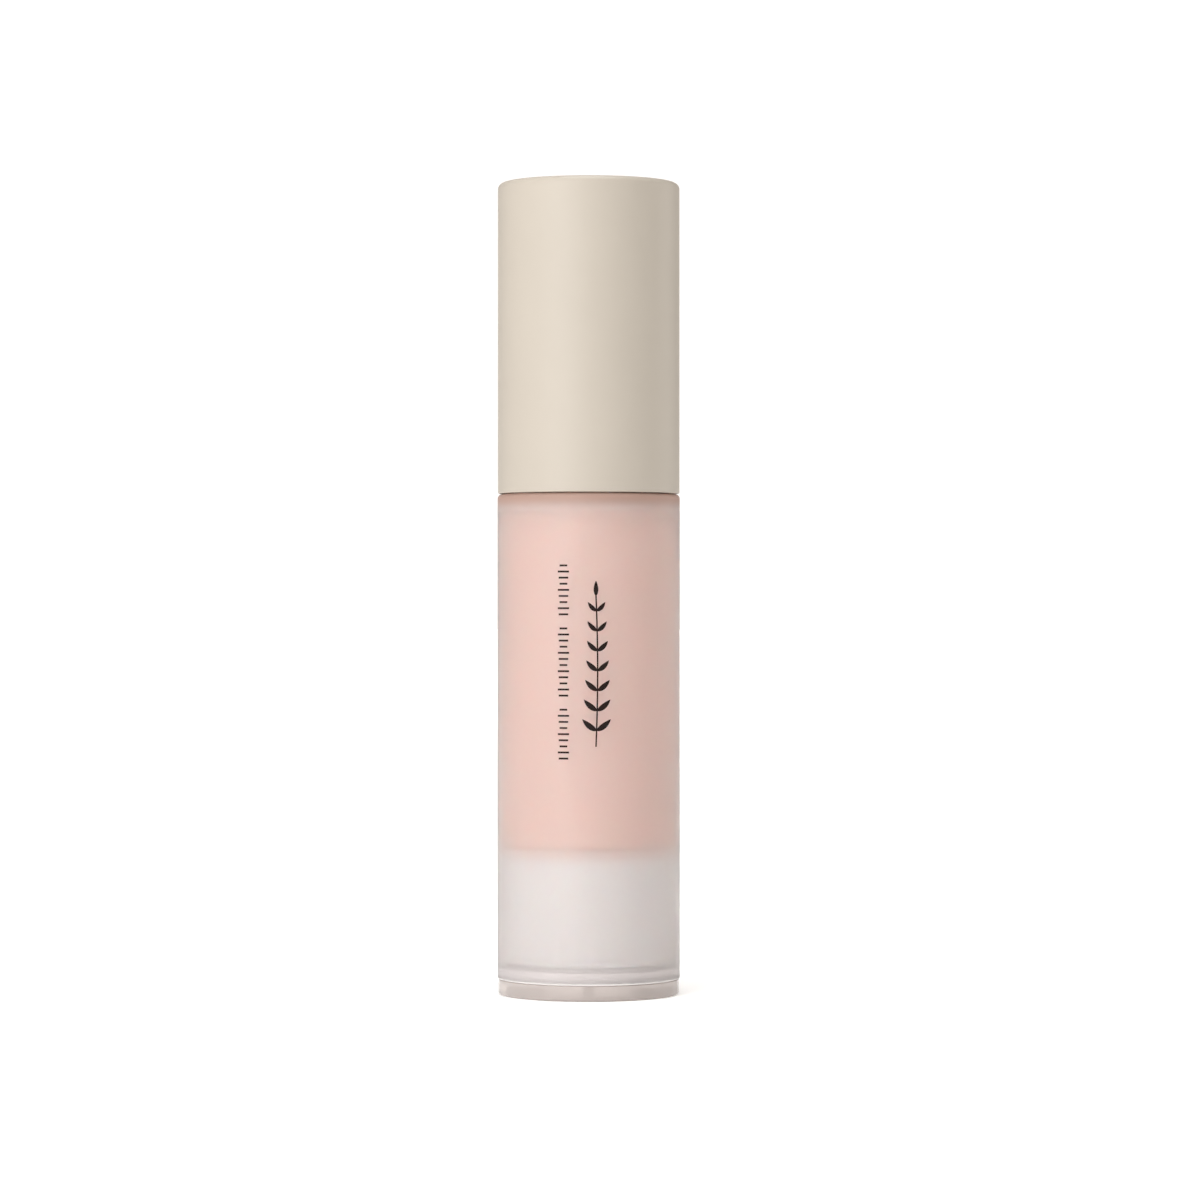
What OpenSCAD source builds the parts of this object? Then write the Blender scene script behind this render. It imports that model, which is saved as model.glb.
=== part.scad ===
// Airless foundation bottle: a frosted outer bottle round a milky inner one, a follower that rises
// under the product, a pump with a turning head that is held on its neck, and a pull-off cap.
// All sizes are in millimetres. The origin is the middle of the foot, with +Z up.

/* [Outer size] */
// Outer diameter of the bottle
body_d = 28; // [28:0.5:34]
// Height from the foot to the top of the cap
total_h = 124.5; // [122:0.5:140]
// Height of the seam between bottle and cap
seam_z = 76.7; // [72:0.1:78]
// Visible height of the clear base plug
base_h = 2.4; // [2:0.1:3]
// Height of the lowest product, where the follower starts
product_z = 22.7; // [22.5:0.1:50]

/* [Walls and edges] */
// Wall of the outer bottle
bottle_wall = 1.6; // [1.2:0.1:1.8]
// Wall of the inner bottle
inner_wall = 1; // [0.8:0.1:1.2]
// Wall of the cap's outer shell
shell_wall = 1.3; // [1:0.1:1.5]
// Radius of the cap's top edge
cap_edge = 1; // [0.4:0.1:1.4]
// Radius of the bottle's top edge
shoulder_edge = 0.7; // [0.3:0.1:1]
// Radius of the foot's lower edge
foot_edge = 0.9; // [0.4:0.1:1.2]

/* [Pump] */
// Travel of the pump head when it is pressed
stroke = 4; // [3:0.1:4.2]
// Bore of the pump chamber
chamber_d = 9; // [8.6:0.1:9.2]
// Outer diameter of the stem
stem_d = 4.8; // [4.4:0.1:5]
// Outer diameter of the pump head
head_d = 15.4; // [14.8:0.1:15.6]
// Height of the pump head
head_h = 24; // [22:0.5:25]
// How far the piston slips on the stem before it follows
valve_slip = 0.7; // [0.4:0.1:0.8]

/* [Spring] */
// Wire diameter
wire_d = 0.75; // [0.6:0.05:0.8]
// Diameter of the coil at the middle of the wire
coil_d = 8.3; // [8.2:0.1:8.4]
// Turns that carry load, between the two closed end turns
live_turns = 5; // [4:1:6]

/* [Hidden] */
$fn = 96;
// How far a cut runs past the face that it opens
slop = 0.05;
// Radial clearance of pieces that slide or turn in each other
run_fit = 0.05;
// Gap between curved faces of pieces that stay together
still_gap = 0.05;

// Base plug
body_r = body_d / 2;
plug_r = body_r - 0.1;
plug_wall = 1.2;
ledge_h = 1.7;
ledge_z = base_h + ledge_h;
skirt_h = 0.6;
foot_r = body_r - 3.6;
foot_recess = 0.5;
vent_r = 0.6;
rib_w = 0.8;
rib_h = 1.6;
rib_count = 6;

// Outer and inner bottle
bore_r = body_r - bottle_wall;
shoulder_wall = 0.9;
shoulder_z = seam_z - shoulder_wall;
neck_hole_r = 9.2;
inner_r = bore_r - 0.2;
store_r = inner_r - inner_wall;
inner_roof = 0.6;
store_top = shoulder_z - inner_roof;
inner_edge = 1.2;
neck_r = 8.6;
neck_bore_r = 7.4;
neck_top = seam_z + 5.8;
neck_bead_r = 0.5;
neck_bead_z = neck_top - 2.4;

// Pump housing, from the flange on the neck down to the inlet
gasket_h = 0.6;
flange_r = neck_r - still_gap;
flange_z = neck_top + gasket_h;
flange_h = 1;
chamber_r = chamber_d / 2;
chamber_wall = 1.1;
barrel_r = chamber_r + chamber_wall;
housing_plug_r = neck_bore_r - still_gap;
barrel_end = seam_z - 12.7;
chamber_floor = barrel_end + 2;
nose_r = 2.6;
nose_h = 3;
nose_z = barrel_end - nose_h;
inlet_r = 1;

// Inlet valve: the ball sits on a 45 degree seat, under a disc that stops it
ball_r = 1.5;
ball_lift = 0.6;
seat_z = barrel_end - 0.4;
seat_gap = 0.05;
ball_z = seat_z - inlet_r + (ball_r + seat_gap) * sqrt(2);
pocket_r = 1.9;
stop_z = ball_z + ball_r + ball_lift + 0.1;
disc_h = stop_z - chamber_floor + 0.8;
disc_recess_r = 2.6;
disc_hole_r = 0.45;
disc_hole_ring = 2;

// Stem guide and closure above the housing
guide_z = flange_z + flange_h;
guide_flange_h = 1.2;
spring_z = guide_z + guide_flange_h;
guide_r = stem_d / 2 + run_fit;
guide_wall = 0.85;
guide_h = 6.7;
closure_r = 10;
closure_bore_r = 9.1;
closure_z = seam_z + 0.3;
closure_top = spring_z + 1.2;
closure_hole_r = 5.1;
snap_r = 0.4;

// Collar and pump head
collar_r = body_r - 2.7;
collar_wall = 1.2;
collar_hole_r = head_d / 2 + 0.3;
head_r = head_d / 2;
head_z = closure_top + stroke + 0.5;
head_top = head_z + head_h;
head_wall = 1.1;
roof_z = head_top - 2.2;
collar_top = head_z + 2;
collar_bead_r = 0.4;
collar_bead_z = seam_z + 5.3;
hub_r = 5;
socket_wall = 0.9;
socket_h = 3;
hub_z = spring_z + guide_h + stroke + 1;
stem_top = hub_z + 4;
spout_z = head_top - 5.6;
spout_r = 2.6;
spout_reach = 9.1;
channel_r = 1;
insert_r = 1.6;
insert_bore_r = 0.8;
insert_len = 2.8;
dish_r = 30;
dish_depth = 0.7;

// Stem, rod and piston
stem_r = stem_d / 2;
stem_bore_r = 1.2;
stem_z = flange_z - 5.1;
step_z = stem_z - valve_slip - 0.1;
throat_r = 1.8;
throat_h = 1.3;
rod_r = 1;
rod_head_r = 3;
flute_w = 0.7;
flute_h = 6;
cone_z = step_z - throat_h + throat_r - seat_gap * sqrt(2);
piston_h = 4.8;
lip_h = 0.5;

// Follower: its well takes the pump's nose when it is at the top
travel = store_top - product_z - 1.4;
lip_r = store_r - run_fit;
well_r = barrel_r + 1;
well_floor = nose_z - travel - 0.8;
follower_z = ledge_z + skirt_h + 0.2;
follower_wall = 1;
follower_lip_h = 1.2;

// Cap
cap_z = seam_z + 0.1;
cap_r = body_r - 0.05;
liner_r = cap_r - shell_wall - still_gap;
liner_bore_r = collar_r + 0.2;
liner_z = cap_z + 0.4;
liner_top = total_h - 1.7;
liner_roof = 1.2;

// Turns a half section, drawn as radius and height, into a solid
module turned() rotate_extrude() children();

// One rectangle of a half section
module band(r0, r1, z0, z1) translate([r0, z0]) square([r1 - r0, z1 - z0]);

// What a rounded corner takes away: at is the corner, way is where it points, such as [1, -1]
module corner_cut(at, rad, way)
    translate(at - rad * way)
        difference() {
            translate([for (w = way) w > 0 ? 0 : -rad - slop]) square(rad + slop);
            circle(r = rad);
        }

// A round bead or groove of a half section
module bead(r, z, rad) translate([r, z]) circle(r = rad);

// A cavity of a half section whose upper corner is rounded
module cavity(r, z0, z1, rad)
    difference() {
        band(0, r, z0, z1);
        corner_cut([r, z1], rad, [1, 1]);
    }

module base_plug() color([0.84, 0.82, 0.79, 0.6]) {
    skirt_r = store_r - 0.1;
    turned()
        difference() {
            union() {
                band(0, plug_r, 0, base_h);
                band(skirt_r - plug_wall, bore_r - still_gap, base_h, ledge_z);
                band(skirt_r - plug_wall, skirt_r, ledge_z, ledge_z + skirt_h);
            }
            band(0, foot_r, -slop, foot_recess);
            band(0, vent_r, 0, base_h + slop);
            corner_cut([plug_r, 0], foot_edge, [1, -1]);
            corner_cut([plug_r, base_h], 0.15, [1, 1]);
            corner_cut([foot_r, 0], 0.3, [-1, -1]);
            corner_cut([skirt_r, ledge_z + skirt_h], 0.3, [1, 1]);
        }
    for (a = [0 : 360 / rib_count : 359])
        rotate(a)
            translate([vent_r + 2, -rib_w / 2, base_h - 0.2])
                cube([skirt_r - plug_wall - vent_r - 1.9, rib_w, rib_h + 0.2]);
}

module outer_bottle() color([0.93, 0.88, 0.85, 0.5])
    turned()
        difference() {
            band(0, body_r, base_h, seam_z);
            cavity(bore_r, base_h - slop, shoulder_z, inner_edge - 0.2);
            band(0, neck_hole_r, shoulder_z - slop, seam_z + slop);
            corner_cut([body_r, seam_z], shoulder_edge, [1, 1]);
            corner_cut([body_r, base_h], 0.25, [1, -1]);
            corner_cut([neck_hole_r, seam_z], 0.3, [-1, 1]);
        }

module inner_bottle() color([0.97, 0.95, 0.93, 0.7])
    turned()
        difference() {
            union() {
                difference() {
                    band(0, inner_r, ledge_z, shoulder_z);
                    corner_cut([inner_r, shoulder_z], inner_edge, [1, 1]);
                }
                band(0, neck_r, shoulder_z - slop, neck_top);
                bead(neck_r - 0.1, neck_bead_z, neck_bead_r);
            }
            cavity(store_r, ledge_z - slop, store_top, 0.6);
            band(0, neck_bore_r, store_top - slop, neck_top + slop);
            corner_cut([neck_r, neck_top], 0.2, [1, 1]);
        }

module foundation_fill() color([0.91, 0.76, 0.69])
    turned()
        difference() {
            union() {
                cavity(store_r - still_gap, product_z + still_gap, store_top - still_gap, 0.7);
                band(0, well_r - still_gap, well_floor + still_gap, product_z + 2 * still_gap);
            }
            band(0, barrel_r + still_gap, barrel_end - still_gap, store_top);
            band(0, nose_r + still_gap, nose_z - still_gap, store_top);
        }

module follower_piston() color([0.95, 0.94, 0.92])
    turned() {
        waist_r = lip_r - 0.3;
        band(waist_r - follower_wall, waist_r, follower_z, product_z);
        for (z = [follower_z, product_z - follower_lip_h])
            difference() {
                band(waist_r - slop, lip_r, z, z + follower_lip_h);
                for (way = [-1, 1])
                    corner_cut([lip_r, z + follower_lip_h * (1 + way) / 2], 0.2, [1, way]);
            }
        band(well_r, waist_r, product_z - follower_wall, product_z);
        band(well_r, well_r + follower_wall, well_floor, product_z);
        band(0, well_r + follower_wall, well_floor - follower_wall, well_floor);
    }

module neck_gasket() color([0.85, 0.85, 0.83])
    turned() band(neck_bore_r + still_gap, flange_r, neck_top, flange_z);

module pump_housing() color([0.9, 0.9, 0.88])
    turned()
        difference() {
            union() {
                difference() {
                    band(0, barrel_r, barrel_end, guide_z);
                    corner_cut([barrel_r, barrel_end], 0.8, [1, -1]);
                }
                band(0, nose_r, nose_z, barrel_end + slop);
                band(0, housing_plug_r, store_top, flange_z);
                band(0, flange_r, flange_z, guide_z);
            }
            band(barrel_r + 0.05, housing_plug_r - 0.85, store_top + 1.2, guide_z + slop);
            band(0, chamber_r, chamber_floor, guide_z + slop);
            band(0, inlet_r, nose_z - slop, seat_z + slop);
            polygon([
                [0, seat_z], [inlet_r, seat_z], [pocket_r, seat_z + pocket_r - inlet_r],
                [pocket_r, chamber_floor + slop], [0, chamber_floor + slop]
            ]);
            corner_cut([nose_r, nose_z], 0.4, [1, -1]);
        }

module inlet_ball() color([0.75, 0.76, 0.78]) translate([0, 0, ball_z]) sphere(r = ball_r);

module ball_retainer() color([0.95, 0.95, 0.93])
    difference() {
        turned()
            difference() {
                band(0, chamber_r - still_gap, chamber_floor, chamber_floor + disc_h);
                band(0, disc_recess_r, chamber_floor - slop, stop_z);
            }
        for (a = [0 : 90 : 270])
            rotate(a)
                translate([disc_hole_ring, 0, chamber_floor])
                    cylinder(r = disc_hole_r, h = disc_h + slop, $fn = 32);
    }

module housing_retainer() color([0.92, 0.92, 0.9])
    turned()
        difference() {
            union() {
                band(guide_r, chamber_r - still_gap, guide_z - 1.3, guide_z);
                band(guide_r, flange_r, guide_z, spring_z);
                band(guide_r, guide_r + guide_wall, spring_z, spring_z + guide_h);
            }
            corner_cut([guide_r + guide_wall, spring_z + guide_h], 0.3, [1, 1]);
        }

module pump_closure() color([0.94, 0.93, 0.91])
    turned()
        difference() {
            union() {
                difference() {
                    band(0, closure_r, closure_z, closure_top);
                    band(0, closure_bore_r, closure_z - slop, spring_z);
                }
                bead(closure_bore_r + 0.05, neck_bead_z - 1.05, snap_r);
            }
            band(0, closure_hole_r, spring_z - slop, closure_top + slop);
            corner_cut([closure_r, closure_top], 0.5, [1, 1]);
        }

module shoulder_collar() color([0.88, 0.83, 0.77])
    turned() {
        inside_r = collar_r - collar_wall;
        roof = collar_top - 1.4;
        difference() {
            union() {
                band(inside_r, collar_r, seam_z, collar_top);
                band(collar_hole_r, inside_r + slop, roof, collar_top);
                band(collar_hole_r, collar_hole_r + 0.9, closure_top + 0.5, roof + slop);
                bead(collar_r - 0.28, collar_bead_z, collar_bead_r);
            }
            corner_cut([collar_r, collar_top], 0.9, [1, 1]);
            corner_cut([collar_hole_r, collar_top], 0.4, [-1, 1]);
        }
    }

module pump_stem() color([0.93, 0.93, 0.91])
    turned()
        difference() {
            band(stem_bore_r, stem_r, stem_z, stem_top);
            corner_cut([stem_r, stem_top], 0.3, [1, 1]);
        }

module piston_rod() color([0.9, 0.9, 0.88]) {
    // Fluted spigot, held in the stem's bore
    intersection() {
        translate([0, 0, stem_z - slop]) cylinder(r = stem_bore_r - still_gap, h = flute_h);
        for (a = [0, 90])
            rotate(a)
                translate([-stem_r, -flute_w / 2, stem_z - slop]) cube([stem_d, flute_w, flute_h]);
    }
    // Shaft and the cone that closes the piston's throat
    turned()
        difference() {
            union() {
                band(0, rod_r, cone_z - rod_r - slop, stem_z);
                polygon([
                    [0, cone_z - rod_r], [rod_r, cone_z - rod_r], [rod_head_r, cone_z - rod_head_r],
                    [rod_head_r, cone_z - rod_head_r - 0.4], [0, cone_z - rod_head_r - 0.4]
                ]);
            }
            corner_cut([rod_head_r, cone_z - rod_head_r - 0.4], 0.2, [1, -1]);
        }
}

module pump_piston() color([0.96, 0.96, 0.95])
    turned() {
        lip = chamber_r - run_fit;
        skirt_r = lip - 0.15;
        low = step_z - throat_h - 1.1;
        sleeve_r = guide_r + 0.65;
        band(skirt_r - 0.6, skirt_r, low, low + piston_h);
        for (z = [low, low + piston_h - lip_h]) band(skirt_r - 0.1, lip, z, z + lip_h);
        band(sleeve_r - slop, skirt_r - 0.5, step_z - 0.3, step_z + 0.5);
        band(guide_r, sleeve_r, step_z, step_z + 3.6);
        band(throat_r, sleeve_r, step_z - throat_h, step_z);
    }

// Compression spring with one closed turn at each end
spring_len = hub_z - spring_z - 2 * still_gap;
closed_pitch = wire_d * 1.08;
live_pitch = (spring_len - wire_d - 2 * closed_pitch) / live_turns;
coil_steps = 20;
wire_sides = 8;

// Height of the wire's middle after a number of turns
function coil_height(turn) =
    wire_d / 2 + closed_pitch * (min(turn, 1) + max(turn - 1 - live_turns, 0))
    + live_pitch * max(min(turn - 1, live_turns), 0);

// A point on the wire's surface, a number of turns along it and an angle round it
function wire_point(turn, a) =
    let (r = (coil_d + wire_d * cos(a)) / 2)
    [r * cos(360 * turn), r * sin(360 * turn), coil_height(turn) + wire_d / 2 * sin(a)];

module return_spring() color([0.78, 0.79, 0.8]) {
    rings = (live_turns + 2) * coil_steps;
    points = [
        for (k = [0 : rings], s = [0 : wire_sides - 1])
            wire_point(k / coil_steps, 360 * s / wire_sides)
    ];
    sides = [
        for (k = [0 : rings - 1], s = [0 : wire_sides - 1])
            let (n = (s + 1) % wire_sides, a = k * wire_sides, b = a + wire_sides)
            [a + s, b + s, b + n, a + n]
    ];
    ends = [
        [for (s = [0 : wire_sides - 1]) s],
        [for (s = [wire_sides - 1 : -1 : 0]) rings * wire_sides + s]
    ];
    translate([0, 0, spring_z + still_gap]) polyhedron(points, concat(sides, ends));
}

module pump_head() color([0.96, 0.95, 0.94])
    difference() {
        turned()
            difference() {
                band(0, head_r, head_z, head_top);
                difference() {
                    cavity(head_r - head_wall, head_z - slop, roof_z, 0.5);
                    band(hub_r + still_gap, hub_r + socket_wall, roof_z - socket_h, head_top);
                }
                corner_cut([head_r, head_top], 0.8, [1, 1]);
                corner_cut([head_r, head_z], 0.2, [1, -1]);
                translate([0, head_top - dish_depth + dish_r]) circle(r = dish_r);
            }
        translate([0, 0, spout_z]) rotate([90, 0, 0]) cylinder(r = spout_r + still_gap, h = spout_reach);
    }

module actuator_core() color([0.96, 0.95, 0.94])
    difference() {
        union() {
            translate([0, 0, hub_z]) cylinder(r = hub_r, h = roof_z - still_gap - hub_z);
            translate([0, 0, spout_z]) rotate([90, 0, 0]) cylinder(r = spout_r, h = spout_reach);
        }
        translate([0, 0, hub_z - slop]) cylinder(r = guide_r, h = stem_top - hub_z + 0.1 + slop);
        translate([0, 0, hub_z]) cylinder(r = channel_r, h = spout_z - hub_z);
        translate([0, 0, spout_z]) rotate([90, 0, 0]) cylinder(r = channel_r, h = spout_reach + slop);
        translate([0, -spout_reach + insert_len, spout_z])
            rotate([90, 0, 0]) cylinder(r = insert_r + still_gap, h = insert_len + slop);
    }

module nozzle_insert() color([0.9, 0.89, 0.87])
    translate([0, -spout_reach, spout_z])
        rotate([-90, 0, 0])
            turned() {
                band(insert_bore_r, insert_r, 0, insert_len);
                band(insert_bore_r, insert_r + 0.4, -0.4, 0);
            }

module cap_liner() color([0.95, 0.94, 0.93])
    turned()
        difference() {
            band(0, liner_r, liner_z, liner_top);
            cavity(liner_bore_r, liner_z - slop, liner_top - liner_roof, 0.6);
            bead(liner_bore_r - 0.15, collar_bead_z, collar_bead_r + 0.15);
            corner_cut([liner_r, liner_top], 0.8, [1, 1]);
            corner_cut([liner_bore_r, liner_z], 0.4, [-1, -1]);
        }

module cap_shell() color([0.86, 0.81, 0.75])
    turned()
        difference() {
            band(0, cap_r, cap_z, total_h);
            cavity(cap_r - shell_wall, cap_z - slop, liner_top + 0.1, 0.6);
            corner_cut([cap_r, total_h], cap_edge, [1, 1]);
            corner_cut([cap_r, cap_z], 0.3, [1, -1]);
            corner_cut([cap_r - shell_wall, cap_z], 0.2, [-1, -1]);
        }

cap_shell();
cap_liner();
pump_head();
actuator_core();
nozzle_insert();
shoulder_collar();
pump_closure();
neck_gasket();
pump_housing();
housing_retainer();
pump_stem();
piston_rod();
pump_piston();
return_spring();
inlet_ball();
ball_retainer();
outer_bottle();
inner_bottle();
follower_piston();
base_plug();
foundation_fill();
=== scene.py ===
"""Looks of the airless foundation bottle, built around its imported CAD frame. All lengths are in metres."""

import math

import bmesh
import bpy
from mathutils import Matrix, Vector


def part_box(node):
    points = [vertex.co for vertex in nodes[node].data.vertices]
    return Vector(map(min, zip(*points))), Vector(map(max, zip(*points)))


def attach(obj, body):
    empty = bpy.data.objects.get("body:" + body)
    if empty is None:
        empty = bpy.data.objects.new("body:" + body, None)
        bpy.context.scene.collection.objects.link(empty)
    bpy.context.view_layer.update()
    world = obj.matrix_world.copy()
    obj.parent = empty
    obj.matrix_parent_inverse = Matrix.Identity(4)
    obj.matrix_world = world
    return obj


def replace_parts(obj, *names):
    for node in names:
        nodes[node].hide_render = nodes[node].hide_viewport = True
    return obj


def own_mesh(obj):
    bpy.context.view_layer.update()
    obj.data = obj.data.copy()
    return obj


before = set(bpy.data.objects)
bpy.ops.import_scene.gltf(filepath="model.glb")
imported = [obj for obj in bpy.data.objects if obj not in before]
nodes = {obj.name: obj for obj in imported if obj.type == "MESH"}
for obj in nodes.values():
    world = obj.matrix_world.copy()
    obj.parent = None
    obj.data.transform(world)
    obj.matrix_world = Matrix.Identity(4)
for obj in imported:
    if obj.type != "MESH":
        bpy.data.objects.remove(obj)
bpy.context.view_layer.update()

MM = 0.001
SEGMENTS = 192  # round each turned piece
ARC_STEPS = 8  # along each rounded edge
SHARP_ANGLE = 38  # edges that turn more than this, in degrees, are drawn sharp
GAP = 0.05 * MM  # the CAD's gap between pieces that stay together
NEAR = 0.01 * MM  # a corner this near to a radius or a height counts as on it


# Measures from the frame -------------------------------------------------------------------------


def radius(node):
    """The outer radius of a round CAD node that stands on the axis."""
    low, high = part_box(node)
    return (high.x - low.x) / 2


def low_z(node):
    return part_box(node)[0].z


def high_z(node):
    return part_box(node)[1].z


# Camera and light --------------------------------------------------------------------------------

CAMERA_DISTANCE = 0.650
CAMERA_HEIGHT = 0.0620
CAMERA_SIDE = 0.0002
LENS_MM = 129
LIGHT_DISTANCE = 0.9
SURROUNDINGS = 0.25  # brightness of the studio all round
BEHIND = 1.1  # brightness of the studio straight behind the bottle
GLOW_FULL = 12  # degrees off straight behind to which that brightness is full
GLOW_ENDS = 24  # and at which it has faded to that of the surroundings
FLOOR_HALF = 6.0
FLOOR_DROP = 0.02 * MM  # keeps the floor just clear of the foot


def make_camera():
    """A level camera in front of the bottle, at the height of its middle."""
    data = bpy.data.cameras.new("camera")
    data.lens = LENS_MM
    data.sensor_width = 36
    data.clip_start, data.clip_end = 0.01, 20
    camera = bpy.data.objects.new("camera", data)
    camera.location = (CAMERA_SIDE, -CAMERA_DISTANCE, CAMERA_HEIGHT)
    camera.rotation_euler = (math.pi / 2, 0, 0)
    bpy.context.scene.collection.objects.link(camera)
    bpy.context.scene.camera = camera


def area_light(name, azimuth, elevation, size, power, colour=(1, 1, 1)):
    """A softbox that faces the bottle's middle. Azimuth 0 is the camera's side, and 90 the right."""
    data = bpy.data.lights.new(name, "AREA")
    data.shape = "RECTANGLE"
    data.size, data.size_y = size
    data.energy = power
    data.color = colour
    light = bpy.data.objects.new(name, data)
    a, e = math.radians(azimuth), math.radians(elevation)
    out = Vector((math.sin(a) * math.cos(e), -math.cos(a) * math.cos(e), math.sin(e)))
    light.location = Vector((0, 0, CAMERA_HEIGHT)) + out * LIGHT_DISTANCE
    light.rotation_euler = out.to_track_quat("Z", "Y").to_euler()
    bpy.context.scene.collection.objects.link(light)


def light_scene():
    """A pale studio, white behind the bottle, with a broad key light from the left front.

    Two weak lights fill in, a warm one lights the right edge from behind, and one hangs overhead.
    """
    world = bpy.data.worlds.new("studio")
    world.use_nodes = True
    tree = world.node_tree
    background = tree.nodes["Background"]
    background.inputs["Color"].default_value = (1, 0.97, 0.94, 1)
    direction = tree.nodes.new("ShaderNodeTexCoord")
    split = tree.nodes.new("ShaderNodeSeparateXYZ")
    glow = tree.nodes.new("ShaderNodeMapRange")
    glow.interpolation_type = "SMOOTHSTEP"
    glow.inputs["From Min"].default_value = math.cos(math.radians(GLOW_ENDS))
    glow.inputs["From Max"].default_value = math.cos(math.radians(GLOW_FULL))
    glow.inputs["To Min"].default_value = SURROUNDINGS
    glow.inputs["To Max"].default_value = BEHIND
    tree.links.new(direction.outputs["Generated"], split.inputs[0])
    tree.links.new(split.outputs["Y"], glow.inputs["Value"])
    tree.links.new(glow.outputs["Result"], background.inputs["Strength"])
    bpy.context.scene.world = world
    bpy.context.scene.view_settings.view_transform = "Standard"
    area_light("key", azimuth=-35, elevation=15, size=(0.7, 0.9), power=7.1)
    area_light("front_fill", azimuth=8, elevation=15, size=(0.6, 0.9), power=0.8)
    area_light("side_fill", azimuth=-80, elevation=12, size=(0.6, 0.9), power=1.1)
    area_light("right_rim", azimuth=115, elevation=10, size=(0.35, 0.9), power=2.1, colour=(1, 0.95, 0.88))
    area_light("overhead", azimuth=0, elevation=88, size=(0.5, 0.5), power=5.5)


def make_floor():
    """A plain pale floor that runs far out in every direction."""
    half = FLOOR_HALF
    corners = [(-half, -half, 0), (half, -half, 0), (half, half, 0), (-half, half, 0)]
    mesh = bpy.data.meshes.new("floor")
    mesh.from_pydata(corners, [], [(0, 1, 2, 3)])
    floor = bpy.data.objects.new("floor", mesh)
    floor.location.z = -FLOOR_DROP
    bpy.context.scene.collection.objects.link(floor)
    floor.data.materials.append(plain_floor())


# Materials ---------------------------------------------------------------------------------------


class Shader:
    """A new material with a Principled shader, and short ways to feed it from procedural nodes."""

    def __init__(self, name, **sockets):
        self.material = bpy.data.materials.new(name)
        self.material.use_nodes = True
        self.tree = self.material.node_tree
        self.surface = self.tree.nodes["Principled BSDF"]
        for socket, value in sockets.items():
            self.surface.inputs[socket.replace("_", " ")].default_value = value

    def node(self, kind, **settings):
        made = self.tree.nodes.new(kind)
        for key, value in settings.items():
            setattr(made, key, value)
        return made

    def link(self, out_socket, in_socket):
        self.tree.links.new(out_socket, in_socket)

    def noise(self, size, detail=2.0, stretch=(1, 1, 1)):
        """Noise in the piece's own coordinates, with features of about the given size."""
        place = self.node("ShaderNodeTexCoord")
        scale = self.node("ShaderNodeMapping")
        scale.inputs["Scale"].default_value = [s / size for s in stretch]
        noise = self.node("ShaderNodeTexNoise")
        noise.inputs["Scale"].default_value = 1.0
        noise.inputs["Detail"].default_value = detail
        self.link(place.outputs["Object"], scale.inputs["Vector"])
        self.link(scale.outputs["Vector"], noise.inputs["Vector"])
        return noise.outputs["Fac"]

    def ramp(self, factor, low, high):
        """Maps 0 to 1 onto low to high."""
        mapped = self.node("ShaderNodeMapRange")
        mapped.inputs["To Min"].default_value = low
        mapped.inputs["To Max"].default_value = high
        self.link(factor, mapped.inputs["Value"])
        return mapped.outputs["Result"]

    def by_height(self, low, high):
        """0 below one height of the piece, 1 above another, and smooth between them."""
        place = self.node("ShaderNodeTexCoord")
        split = self.node("ShaderNodeSeparateXYZ")
        rise = self.node("ShaderNodeMapRange", interpolation_type="SMOOTHSTEP")
        rise.inputs["From Min"].default_value = low
        rise.inputs["From Max"].default_value = high
        self.link(place.outputs["Object"], split.inputs[0])
        self.link(split.outputs["Z"], rise.inputs["Value"])
        return rise.outputs["Result"]

    def blend_of(self, factor, dark, light):
        """A colour that wanders between two near tones."""
        mix = self.node("ShaderNodeMix", data_type="RGBA")
        mix.inputs["A"].default_value = (*dark, 1)
        mix.inputs["B"].default_value = (*light, 1)
        self.link(factor, mix.inputs["Factor"])
        return mix.outputs["Result"]

    def vary_colour(self, factor, dark, light):
        self.link(self.blend_of(factor, dark, light), self.surface.inputs["Base Color"])

    def fade_colour(self, factor, first, second):
        """The base colour goes from one colour socket to another."""
        mix = self.node("ShaderNodeMix", data_type="RGBA")
        self.link(factor, mix.inputs["Factor"])
        self.link(first, mix.inputs["A"])
        self.link(second, mix.inputs["B"])
        self.link(mix.outputs["Result"], self.surface.inputs["Base Color"])

    def vary_roughness(self, factor, low, high):
        self.link(self.ramp(factor, low, high), self.surface.inputs["Roughness"])

    def bump(self, factor, depth):
        bump = self.node("ShaderNodeBump")
        bump.inputs["Distance"].default_value = depth
        self.link(factor, bump.inputs["Height"])
        self.link(bump.outputs["Normal"], self.surface.inputs["Normal"])


def tones(colour, spread):
    """Two tones a little darker and lighter than a colour."""
    return [tuple(min(c * k, 1.0) for c in colour) for k in (1 - spread, 1 + spread)]


def moulded(name, colour, roughness, grain=0.12 * MM, depth=0.002 * MM, spread=0.015, **sockets):
    """Moulded opaque plastic: faint flow tone, fine surface grain and slightly uneven gloss."""
    shader = Shader(name, **sockets)
    shader.vary_colour(shader.noise(9 * MM, 1), *tones(colour, spread))
    shader.vary_roughness(shader.noise(2 * MM), roughness - 0.04, roughness + 0.04)
    shader.bump(shader.noise(grain), depth)
    return shader.material


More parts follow.
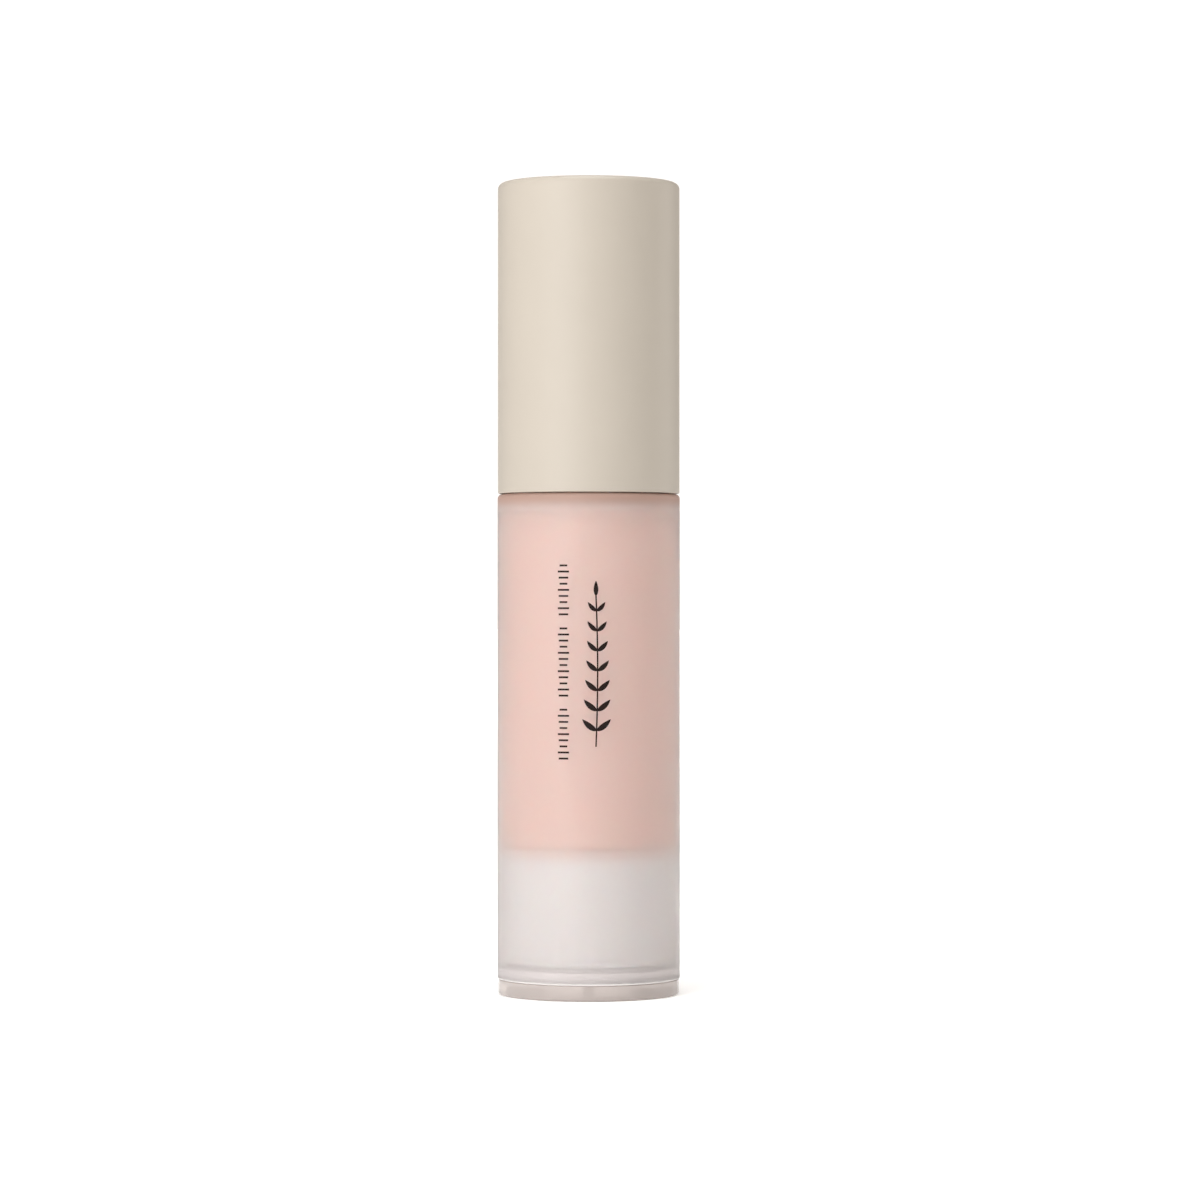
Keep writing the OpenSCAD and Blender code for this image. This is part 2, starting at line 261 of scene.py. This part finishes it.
def frosted_plastic(shoulder):
    """Clear plastic with a fine frost: a pale veil. Near the shoulder it turns a darker rose, painted shade
    under the cap, and less clear where the plastic is thicker.
    """
    shader = Shader("frosted plastic", IOR=1.3, Specular_IOR_Level=0.3)
    # the second pair of tones is a darker rose: painted shade that falls on the wall under the cap
    thin, shaded_rose = tones((0.95, 0.89, 0.87), 0.01), tones((0.52, 0.345, 0.285), 0.02)
    shade_starts, shade_full = shoulder - 3.6 * MM, shoulder - 0.8 * MM
    clear, clear_when_thick = 0.8, 0.3
    wander = shader.noise(12 * MM, 1)
    # thickness rises over the band of painted shade under the cap, and also makes the wall less clear where
    # the shoulder is thicker
    thickness = shader.by_height(shade_starts, shade_full)
    shader.fade_colour(thickness, shader.blend_of(wander, *thin), shader.blend_of(wander, *shaded_rose))
    shader.link(shader.ramp(thickness, clear, clear_when_thick), shader.surface.inputs["Transmission Weight"])
    shader.vary_roughness(shader.noise(1.5 * MM), 0.36, 0.42)
    shader.bump(shader.noise(0.1 * MM), 0.0015 * MM)
    return shader.material


def unseen_bore():
    """The frosted wall's inside. It lies close round the milky bottle, so it shows no face of its own."""
    shader = Shader("close bore", Alpha=0.0, Roughness=0.4)
    shader.vary_colour(shader.noise(12 * MM, 1), *tones((0.93, 0.88, 0.86), 0.01))
    return shader.material


def milky_plastic():
    """Natural polypropylene, which shows its contents a little veiled."""
    shader = Shader("milky plastic", Alpha=0.15, IOR=1.49)
    shader.vary_colour(shader.noise(10 * MM, 1), *tones((0.86, 0.82, 0.80), 0.01))
    shader.vary_roughness(shader.noise(2 * MM), 0.3, 0.4)
    shader.bump(shader.noise(0.3 * MM), 0.002 * MM)
    return shader.material


def clear_plastic():
    """Polished clear plastic with faint flow marks."""
    shader = Shader("clear plastic", Transmission_Weight=0.5, IOR=1.49)
    shader.vary_colour(shader.noise(6 * MM, 1), *tones((0.71, 0.63, 0.595), 0.01))
    shader.vary_roughness(shader.noise(3 * MM), 0.1, 0.16)
    shader.bump(shader.noise(2.5 * MM, 1), 0.004 * MM)
    return shader.material


def cream():
    """The foundation itself: a dense, slightly glossy cream."""
    shader = Shader("foundation cream", Subsurface_Weight=0.4, Subsurface_Scale=3 * MM)
    shader.vary_colour(shader.noise(7 * MM, 2, (1, 1, 0.5)), *tones((0.95, 0.51, 0.385), 0.012))
    shader.vary_roughness(shader.noise(3 * MM), 0.25, 0.4)
    shader.bump(shader.noise(1.5 * MM), 0.01 * MM)
    return shader.material


def follower_white(top):
    """White plastic that the cream tints for a few millimetres under its upper edge."""
    shader = Shader("follower white", Subsurface_Weight=0.2, Subsurface_Scale=1.5 * MM)
    tint_height = 3 * MM
    wander = shader.noise(9 * MM, 1)
    white = shader.blend_of(wander, *tones((0.93, 0.925, 0.94), 0.01))
    tinted = shader.blend_of(wander, *tones((0.88, 0.58, 0.49), 0.01))
    shader.fade_colour(shader.by_height(top - tint_height, top), white, tinted)
    shader.vary_roughness(shader.noise(2 * MM), 0.32, 0.42)
    shader.bump(shader.noise(0.12 * MM), 0.002 * MM)
    return shader.material


def drawn_wire():
    """Spring steel with fine drawing marks along the wire."""
    shader = Shader("drawn wire", Metallic=1.0)
    shader.vary_colour(shader.noise(0.4 * MM), *tones((0.56, 0.56, 0.57), 0.06))
    shader.vary_roughness(shader.noise(0.15 * MM), 0.22, 0.36)
    shader.bump(shader.noise(0.08 * MM), 0.002 * MM)
    return shader.material


def ink():
    """Screen-printed dark ink."""
    shader = Shader("screen print ink", Specular_IOR_Level=0.15)
    shader.vary_colour(shader.noise(0.5 * MM), *tones((0.012, 0.006, 0.005), 0.2))
    shader.vary_roughness(shader.noise(0.3 * MM), 0.4, 0.55)
    return shader.material


def plain_floor():
    """A pale, even studio floor. It glows a little, and more so far out, where the lights fall off."""
    shader = Shader("pale floor", Roughness=0.9, Emission_Color=(1, 0.97, 0.935, 1))
    place = shader.node("ShaderNodeTexCoord")
    away = shader.node("ShaderNodeVectorMath", operation="LENGTH")
    glow = shader.node("ShaderNodeMapRange")
    near, far = 0.35, 1.4
    glow_near, glow_far = 0.3, 1.0
    glow.inputs["From Min"].default_value = near
    glow.inputs["From Max"].default_value = far
    glow.inputs["To Min"].default_value = glow_near
    glow.inputs["To Max"].default_value = glow_far
    shader.link(place.outputs["Object"], away.inputs[0])
    shader.link(away.outputs["Value"], glow.inputs["Value"])
    shader.link(glow.outputs["Result"], shader.surface.inputs["Emission Strength"])
    shader.vary_colour(shader.noise(0.3, 1), *tones((0.93, 0.93, 0.93), 0.003))
    return shader.material


# Mesh helpers ------------------------------------------------------------------------------------


def rounded(*corners):
    """An outline through corners (r, z) or (r, z, edge radius), with points that hold the flats flat."""
    outline = []
    for k, corner in enumerate(corners):
        here = Vector(corner[:2])
        edge = corner[2] if len(corner) > 2 else 0
        if not edge:
            outline.append(here)
            continue
        back = (Vector(corners[k - 1][:2]) - here).normalized()
        ahead = (Vector(corners[(k + 1) % len(corners)][:2]) - here).normalized()
        half_angle = back.angle(ahead) / 2
        reach = edge / math.tan(half_angle)
        middle = here + (back + ahead).normalized() * edge / math.sin(half_angle)
        start, end = here + back * reach - middle, here + ahead * reach - middle
        turn = start.angle_signed(end)
        hold = 0.25 * edge
        outline.append(here + back * (reach + hold))
        for step in range(ARC_STEPS + 1):
            outline.append(middle + Matrix.Rotation(-turn * step / ARC_STEPS, 2) @ start)
        outline.append(here + ahead * (reach + hold))
    return outline


def second_material(piece, material, chosen):
    """Gives one more material to the faces whose corners all pass a test on their radius and height."""
    piece.data.materials.append(material)
    for face in piece.data.polygons:
        corners = [piece.data.vertices[k].co for k in face.vertices]
        if all(chosen(v.xy.length, v.z) for v in corners):
            face.material_index = len(piece.data.materials) - 1


def new_piece(name, mesh, material, body):
    """Turns a bmesh into a smooth-shaded piece that rides on a body."""
    bmesh.ops.recalc_face_normals(mesh, faces=mesh.faces)
    data = bpy.data.meshes.new(name)
    mesh.to_mesh(data)
    mesh.free()
    data.shade_smooth()
    data.set_sharp_from_angle(angle=math.radians(SHARP_ANGLE))
    data.materials.append(material)
    piece = bpy.data.objects.new(name, data)
    bpy.context.scene.collection.objects.link(piece)
    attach(piece, body)
    return piece


def add_ring(mesh, r, z):
    """One ring of vertices round the axis, or a single one on it."""
    if r < 1e-7:
        return [mesh.verts.new((0, 0, z))]
    angles = [2 * math.pi * k / SEGMENTS for k in range(SEGMENTS)]
    return [mesh.verts.new((r * math.cos(a), r * math.sin(a), z)) for a in angles]


def turned(mesh, outline):
    """Adds the solid that an outline sweeps round the axis."""
    rings = [add_ring(mesh, *point) for point in outline]
    for near, far in zip(rings, rings[1:] + rings[:1]):
        if len(near) == len(far) == 1:
            continue
        for k in range(SEGMENTS):
            after = k + 1
            corners = [near[k % len(near)], near[after % len(near)], far[after % len(far)], far[k % len(far)]]
            mesh.faces.new(dict.fromkeys(corners))  # a ring on the axis gives its one corner only once
    return mesh


def bead(wall, z, edge, sink, rising=True):
    """Outline points of a round bead on a wall, whose middle lies a little inside the wall's radius.

    On a bore, whose outline runs down instead of rising, the same points make a groove.
    """
    end = math.acos(sink / edge)
    angles = [end * (2 * k / ARC_STEPS - 1) for k in range(ARC_STEPS + 1)]
    points = [(wall - sink + edge * math.cos(a), z + edge * math.sin(a)) for a in angles]
    return points if rising else points[::-1]


def tube(mesh, points, thickness, sides):
    """Adds a closed round wire along points, whose rings stand upright and face the axis."""
    rings = []
    for point in points:
        out = Vector((point.x, point.y, 0)).normalized()
        angles = [2 * math.pi * k / sides for k in range(sides)]
        spokes = [out * math.cos(a) + Vector((0, 0, math.sin(a))) for a in angles]
        rings.append([mesh.verts.new(point + spoke * thickness / 2) for spoke in spokes])
    for near, far in zip(rings, rings[1:]):
        for k in range(sides):
            after = (k + 1) % sides
            mesh.faces.new((near[k], near[after], far[after], far[k]))
    mesh.faces.new(rings[0])
    mesh.faces.new(rings[-1])


def combine(piece, tool_mesh, operation):
    """Joins a mesh to a piece, or cuts it out, and keeps the result as the piece's own mesh."""
    bmesh.ops.recalc_face_normals(tool_mesh, faces=tool_mesh.faces)
    data = bpy.data.meshes.new("tool")
    tool_mesh.to_mesh(data)
    tool_mesh.free()
    tool = bpy.data.objects.new("tool", data)
    bpy.context.scene.collection.objects.link(tool)
    boolean = piece.modifiers.new("combine", "BOOLEAN")
    boolean.operation = operation
    boolean.solver = "MANIFOLD"
    boolean.object = tool
    evaluated = piece.evaluated_get(bpy.context.evaluated_depsgraph_get())
    result = bpy.data.meshes.new_from_object(evaluated)
    piece.modifiers.clear()
    piece.data = result
    bpy.data.objects.remove(tool)
    result.shade_smooth()
    result.set_sharp_from_angle(angle=math.radians(SHARP_ANGLE))


# Pieces ------------------------------------------------------------------------------------------

SHELL_WALL = 1.3 * MM
BOTTLE_WALL = 1.6 * MM
BOTTLE_GAP = 0.2 * MM  # between the outer and the inner bottle
INNER_WALL = 1.0 * MM
INNER_ROOF = 0.6 * MM
BODY_R = radius("outer_bottle")
SEAM = high_z("outer_bottle")
SNAP_Z = SEAM + 5.3 * MM  # the collar's bead, and the groove for it in the cap's liner
INNER_R = BODY_R - BOTTLE_WALL - BOTTLE_GAP
STORE_R = INNER_R - INNER_WALL
STORE_TOP = high_z("foundation_fill") + GAP
SHOULDER = STORE_TOP + INNER_ROOF
NECK_R = 8.6 * MM
NECK_BORE_R = 7.4 * MM
BARREL_R = 5.6 * MM
WELL_R = BARREL_R + 1 * MM


def make_cap():
    """The beige outer shell and the white liner in it."""
    r, low, high = radius("cap_shell"), low_z("cap_shell"), high_z("cap_shell")
    bore = r - SHELL_WALL
    roof = high_z("cap_liner") + 0.1 * MM
    outline = rounded(
        (0, roof), (bore, roof, 0.6 * MM), (bore, low, 0.2 * MM), (r, low, 0.2 * MM), (r, high, 1.0 * MM),
        (0, high)
    )
    shell = turned(bmesh.new(), outline)
    beige = moulded("satin beige", (0.463, 0.414, 0.352), 0.45, Specular_IOR_Level=0.4)
    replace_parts(new_piece("cap_outer", shell, beige, "cap"), "cap_shell")

    r, low, high = radius("cap_liner"), low_z("cap_liner"), high_z("cap_liner")
    bore = radius("shoulder_collar") + 0.1 * MM
    roof = high - 1.2 * MM
    liner = turned(bmesh.new(), rounded(
        (bore, low, 0.4 * MM), (r, low, 0.15 * MM), (r, high, 0.8 * MM), (0, high), (0, roof),
        (bore, roof, 0.6 * MM), *bead(bore, SNAP_Z, 0.55 * MM, 0.15 * MM, rising=False)
    ))
    white = moulded("liner white", (0.70, 0.68, 0.66), 0.4)
    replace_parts(new_piece("cap_inner", liner, white, "cap"), "cap_liner")


def make_outer_bottle():
    """The frosted outer wall, open at the foot, with a flat shoulder round the neck.

    Its lower rim is given a lighter, nearly opaque material as a painted highlight, and its bore is left
    unseen.
    """
    r, low = radius("outer_bottle"), low_z("outer_bottle")
    bore = r - BOTTLE_WALL
    hole = 9.2 * MM
    rim_high = low + 0.3 * MM
    outline = rounded(
        (bore, low), (r, low, 0.25 * MM), (r, SEAM, 0.7 * MM), (hole, SEAM, 0.3 * MM), (hole, SHOULDER),
        (bore, SHOULDER, 1.0 * MM)
    )
    wall = turned(bmesh.new(), outline)
    piece = new_piece("bottle_outer", wall, frosted_plastic(SEAM), "bottle")
    second_material(piece, unseen_bore(), lambda at, z: at < bore + NEAR and z < SHOULDER + NEAR)
    # a lighter, nearly opaque band round the lower rim: a painted highlight
    edge = moulded("painted rim highlight", (0.84, 0.81, 0.79), 0.35, Transmission_Weight=0.2)
    second_material(piece, edge, lambda at, z: at > bore + NEAR and z < rim_high)
    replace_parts(piece, "outer_bottle")


def make_inner_bottle():
    """The milky inner bottle, open at the foot, with its neck and the bead that holds the closure."""
    low, top = low_z("inner_bottle"), high_z("inner_bottle")
    outline = rounded(
        (STORE_R, low), (INNER_R, low, 0.2 * MM), (INNER_R, SHOULDER, 1.2 * MM), (NECK_R, SHOULDER),
        *bead(NECK_R, top - 2.4 * MM, 0.5 * MM, 0.1 * MM), (NECK_R, top, 0.2 * MM), (NECK_BORE_R, top),
        (NECK_BORE_R, STORE_TOP), (STORE_R, STORE_TOP, 0.6 * MM)
    )
    bottle = turned(bmesh.new(), outline)
    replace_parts(new_piece("bottle_inner", bottle, milky_plastic(), "bottle"), "inner_bottle")


def make_product():
    """The cream, as the column round the pump and the core under it."""
    low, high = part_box("foundation_fill")
    step = high_z("follower_piston") + GAP
    nose = low_z("pump_housing") - GAP
    material = cream()
    column_bore, core_r, core_step = BARREL_R + GAP, WELL_R - GAP, step - 2 * GAP
    column = turned(bmesh.new(), rounded(
        (column_bore, step), (high.x, step, 0.3 * MM), (high.x, high.z, 0.7 * MM), (column_bore, high.z)
    ))
    core = turned(bmesh.new(), rounded(
        (0, low.z), (core_r, low.z, 0.3 * MM), (core_r, core_step), (BARREL_R, core_step), (BARREL_R, nose),
        (0, nose)
    ))
    cream_pieces = (("product_column", column, step, high.z), ("product_core", core, low.z, nose))
    for name, mesh, foot, top in cream_pieces:
        piece = new_piece(name, mesh, material, "bottle")
        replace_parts(piece, "foundation_fill")
        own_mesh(piece)


def make_follower():
    """The follower piston: a thin drum with a sealing lip at each end and a well for the pump's nose.

    Its soft lower lip reaches a little further down than the CAD's.
    """
    lip_reach = 0.1 * MM
    lip, high = radius("follower_piston"), high_z("follower_piston")
    low = low_z("follower_piston") - lip_reach
    waist = lip - 0.3 * MM
    wall = 1.0 * MM
    lip_height = 1.2 * MM
    well_low = low_z("foundation_fill") - GAP
    well_outside, well_under, under_top = WELL_R + wall, well_low - wall, high - wall
    outline = rounded(
        (0, well_under), (well_outside, well_under, 0.4 * MM), (well_outside, under_top, 0.3 * MM),
        (waist - wall, under_top, 0.3 * MM), (waist - wall, low), (lip, low, 0.05 * MM),
        (lip, low + lip_height, 0.2 * MM), (waist, low + lip_height), (waist, high - lip_height),
        (lip, high - lip_height, 0.2 * MM), (lip, high, 0.2 * MM), (WELL_R, high, 0.2 * MM),
        (WELL_R, well_low), (0, well_low)
    )
    drum = turned(bmesh.new(), outline)
    piece = new_piece("follower_drum", drum, follower_white(high), "follower")
    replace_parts(piece, "follower_piston")


def make_foot():
    """The clear foot plug: a disc with a recess and a vent, a spigot with a skirt, and ribs inside.

    What stands on the disc is white, so that the white zone above the foot ends in one clear line.
    """
    r, high = radius("base_plug"), high_z("base_plug")
    disc, ledge = low_z("outer_bottle"), low_z("inner_bottle")
    skirt = STORE_R - 0.1 * MM
    skirt_bore = skirt - 1.2 * MM
    seat = radius("outer_bottle") - BOTTLE_WALL - GAP
    foot, recess, vent = r - 3.5 * MM, 0.5 * MM, 0.6 * MM
    outline = rounded(
        (vent, recess, 0.15 * MM), (vent, disc, 0.15 * MM), (skirt_bore, disc, 0.3 * MM),
        (skirt_bore, high, 0.2 * MM), (skirt, high, 0.1 * MM), (skirt, ledge), (seat, ledge), (seat, disc),
        (r, disc, 0.15 * MM), (r, 0, 0.4 * MM), (foot, 0, 0.3 * MM), (foot, recess, 0.2 * MM)
    )
    plug = turned(bmesh.new(), outline)
    piece = new_piece("foot_plug", plug, clear_plastic(), "bottle")
    ribs = bmesh.new()
    rib_count, rib_width, rib_height, rib_middle = 6, 0.8 * MM, 1.8 * MM, disc + 0.7 * MM
    inside, outside = 2.6 * MM, skirt_bore + 0.2 * MM
    for k in range(rib_count):
        bar = bmesh.ops.create_cube(ribs, size=1)["verts"]
        turn = Matrix.Rotation(2 * math.pi * k / rib_count, 4, "Z")
        shift = Matrix.Translation(((inside + outside) / 2, 0, rib_middle))
        stretch = Matrix.Diagonal((outside - inside, rib_width, rib_height, 1))
        bmesh.ops.transform(ribs, verts=bar, matrix=turn @ shift @ stretch)
    combine(piece, ribs, "UNION")
    white = moulded("spigot white", (0.88, 0.86, 0.87), 0.4)
    second_material(piece, white, lambda at, z: z > disc - NEAR and at < seat + NEAR)
    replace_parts(piece, "base_plug")


def make_spring():
    """The return spring with a closed turn at each end."""
    low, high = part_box("return_spring")
    wire = 0.75 * MM
    wire_sides = 16
    coil_r = high.x - wire / 2
    live_turns, steps = 5, 48
    closed = wire * 1.02  # how far a closed turn rises
    pitch = (high.z - low.z - wire - 2 * closed) / live_turns
    points = []
    for k in range((live_turns + 2) * steps + 1):
        turn = k / steps
        closed_turns = min(turn, 1) + max(turn - 1 - live_turns, 0)
        rise = closed * closed_turns + pitch * max(min(turn - 1, live_turns), 0)
        a = 2 * math.pi * turn
        points.append(Vector((coil_r * math.cos(a), coil_r * math.sin(a), low.z + wire / 2 + rise)))
    coil = bmesh.new()
    tube(coil, points, wire, wire_sides)
    piece = new_piece("pump_spring", coil, drawn_wire(), "bottle")
    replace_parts(piece, "return_spring")
    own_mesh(piece)


def make_collar():
    """The glossy collar on the shoulder, with the bead that the cap snaps over."""
    bead_edge, bead_sink = 0.4 * MM, 0.28 * MM
    r, low, high = radius("shoulder_collar"), low_z("shoulder_collar"), high_z("shoulder_collar")
    r -= bead_edge - bead_sink
    bore = r - 1.2 * MM
    hole = radius("pump_head") + 0.3 * MM
    roof = high - 1.4 * MM
    sleeve_r, sleeve_low = hole + 0.9 * MM, high_z("pump_closure") + 0.5 * MM
    outline = rounded(
        (bore, low), (r, low, 0.2 * MM), *bead(r, SNAP_Z, bead_edge, bead_sink), (r, high, 0.9 * MM),
        (hole, high, 0.4 * MM), (hole, sleeve_low, 0.15 * MM), (sleeve_r, sleeve_low, 0.15 * MM),
        (sleeve_r, roof, 0.2 * MM), (bore, roof, 0.3 * MM)
    )
    ring = turned(bmesh.new(), outline)
    gloss = moulded("gloss beige", (0.55, 0.49, 0.42), 0.22)
    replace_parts(new_piece("collar", ring, gloss, "bottle"), "shoulder_collar")


INK_LIFTS = (0.005 * MM, 0.015 * MM)  # the ink's under and upper face over the wall
LEAF_STEPS = 12  # along a leaf or a bent stroke
LEAF_SHAPE = 0.8  # below 1, a leaf is fuller, and broadest nearer its foot
LEAF_ENDS = 0.03  # the width of a leaf's two ends, as a share of its own


def on_bottle(across, up, lift):
    """A point over the bottle's front, with across measured along the surface from its middle."""
    r = BODY_R + lift
    a = across / BODY_R
    return Vector((r * math.sin(a), -r * math.cos(a), up))


def printed(mesh, left, right):
    """Adds a thin patch of ink between two lines of (across, up) points, which may meet at their ends."""
    skins = []
    for lift in INK_LIFTS:
        middle = [(p + q) / 2 for p, q in zip(left, right)]
        skins.append([[mesh.verts.new(on_bottle(*p, lift)) for p in line] for line in (left, middle, right)])
    under, over = skins
    for skin in skins:
        for side in (0, 1):
            for k in range(len(left) - 1):
                mesh.faces.new((skin[side][k], skin[side + 1][k], skin[side + 1][k + 1], skin[side][k + 1]))
    rims = [[line[side][k] for k in range(len(left))] for side in (0, 2) for line in (under, over)]
    for low, high in (rims[:2], rims[2:]):
        for k in range(len(left) - 1):
            mesh.faces.new((low[k], low[k + 1], high[k + 1], high[k]))
    for k in (0, -1):
        for side in (0, 1):
            mesh.faces.new((under[side][k], under[side + 1][k], over[side + 1][k], over[side][k]))


def stroke(mesh, start, end, width, bend=0.0, pointed=False):
    """One printed stroke from start to end. A pointed one is leaf-shaped."""
    steps = LEAF_STEPS if pointed or bend else 3
    along = end - start
    out = Vector((along.y, -along.x)).normalized()
    left, right = [], []
    for k in range(steps + 1):
        t = k / steps
        middle = start + along * t + out * bend * 4 * t * (1 - t)
        half = width / 2
        if pointed:
            fullness = math.sin(math.pi * t ** LEAF_SHAPE) ** LEAF_SHAPE if 0 < t < 1 else 0
            half = width / 2 * max(fullness, LEAF_ENDS)
        left.append(middle - out * half)
        right.append(middle + out * half)
    printed(mesh, left, right)


def make_print():
    """A generic print in dark ink: a leafy sprig, and beside it a column of fine dashes in groups."""
    ink_material = ink()
    sprig = bmesh.new()
    foot, stem_top, top, axis = 38.4 * MM, 61.2 * MM, 63.4 * MM, 1.1 * MM
    stem_width, stem_bend, leaf_bend = 0.22 * MM, 0.25 * MM, 0.12 * MM
    bud_foot, bud_width = stem_top - 0.1 * MM, 0.7 * MM
    leaf_pairs = 7
    stroke(sprig, Vector((axis, foot)), Vector((axis, stem_top)), stem_width, stem_bend)
    for k in range(leaf_pairs):
        t = (k + 0.8) / (leaf_pairs + 0.6)
        joint = Vector((axis + stem_bend * 4 * t * (1 - t), foot + (stem_top - foot) * t))
        length = (2.9 - 1.1 * t) * MM
        width = (0.902 - 0.287 * t) * MM
        angle = math.radians(52 - 10 * t)
        for way in (-1, 1):
            tip = joint + Vector((way * math.sin(angle), math.cos(angle))) * length
            stroke(sprig, joint, tip, width, leaf_bend * way, pointed=True)
    stroke(sprig, Vector((axis, bud_foot)), Vector((axis, top)), bud_width, pointed=True)
    new_piece("print_sprig", sprig, ink_material, "bottle")

    dashes = bmesh.new()
    column, pitch, group_gap, dash_width = -3.85 * MM, 0.92 * MM, 1.2 * MM, 0.28 * MM
    short_half, longer_by = 0.6 * MM, 0.14 * MM  # the dashes have three lengths in turn
    up = 65.7 * MM
    for group in (9, 12, 9):
        for k in range(group):
            half = short_half + longer_by * (k * 5 % 3)
            stroke(dashes, Vector((column - half, up)), Vector((column + half, up)), dash_width)
            up -= pitch
        up -= group_gap
    new_piece("print_dashes", dashes, ink_material, "bottle")


def paint_frame():
    """Gives the CAD nodes that show as they are their materials."""
    white = moulded("white plastic", (0.61, 0.595, 0.58), 0.3)
    natural = moulded("natural plastic", (0.78, 0.78, 0.75), 0.4)
    rubber = moulded("gasket rubber", (0.6, 0.6, 0.58), 0.7)
    looks = {
        "pump_head": white, "actuator_core": white, "nozzle_insert": white, "pump_closure": white,
        "pump_piston": white, "neck_gasket": rubber, "pump_housing": natural, "housing_retainer": natural,
        "pump_stem": natural, "piston_rod": natural, "ball_retainer": natural, "inlet_ball": drawn_wire(),
    }
    for name, material in looks.items():
        nodes[name].data.materials.clear()
        nodes[name].data.materials.append(material)


make_camera()
light_scene()
make_floor()
make_cap()
make_outer_bottle()
make_inner_bottle()
make_product()
make_follower()
make_foot()
make_spring()
make_collar()
make_print()
paint_frame()
